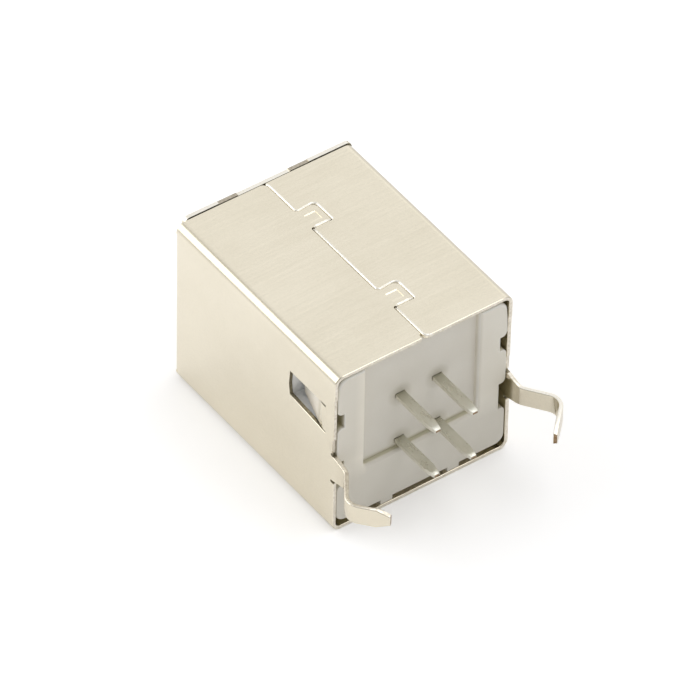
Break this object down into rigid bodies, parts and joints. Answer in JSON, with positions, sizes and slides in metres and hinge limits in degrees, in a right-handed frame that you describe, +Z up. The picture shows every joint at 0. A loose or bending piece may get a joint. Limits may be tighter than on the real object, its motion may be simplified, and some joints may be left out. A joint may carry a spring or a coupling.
{
  "type": "usb-b socket",
  "caption": "Straight type B cable socket for a circuit board: folded nickel shell with hooked seam, kinked board-lock legs and grey contact housing.",
  "frame": {"origin": "middle of the shell's underside, halfway along the shell without its legs", "axes": "+Z up from the wall that the socket lies on, +Y along the mating axis towards the solder tails, -Y out of the mouth, X across"},
  "size_m": [0.0144, 0.0205, 0.0116],
  "materials": {
    "nickel_sheet": "satin nickel plating",
    "grey_moulding": "fine matt moulding",
    "contact_strip": "tin plated tails and gilded beams"
  },
  "bodies": {
    "root": {"shell": "nickel_sheet", "housing": "grey_moulding", "contact_1": "contact_strip", "contact_2": "contact_strip", "contact_3": "contact_strip", "contact_4": "contact_strip"}
  },
  "joints": []
}
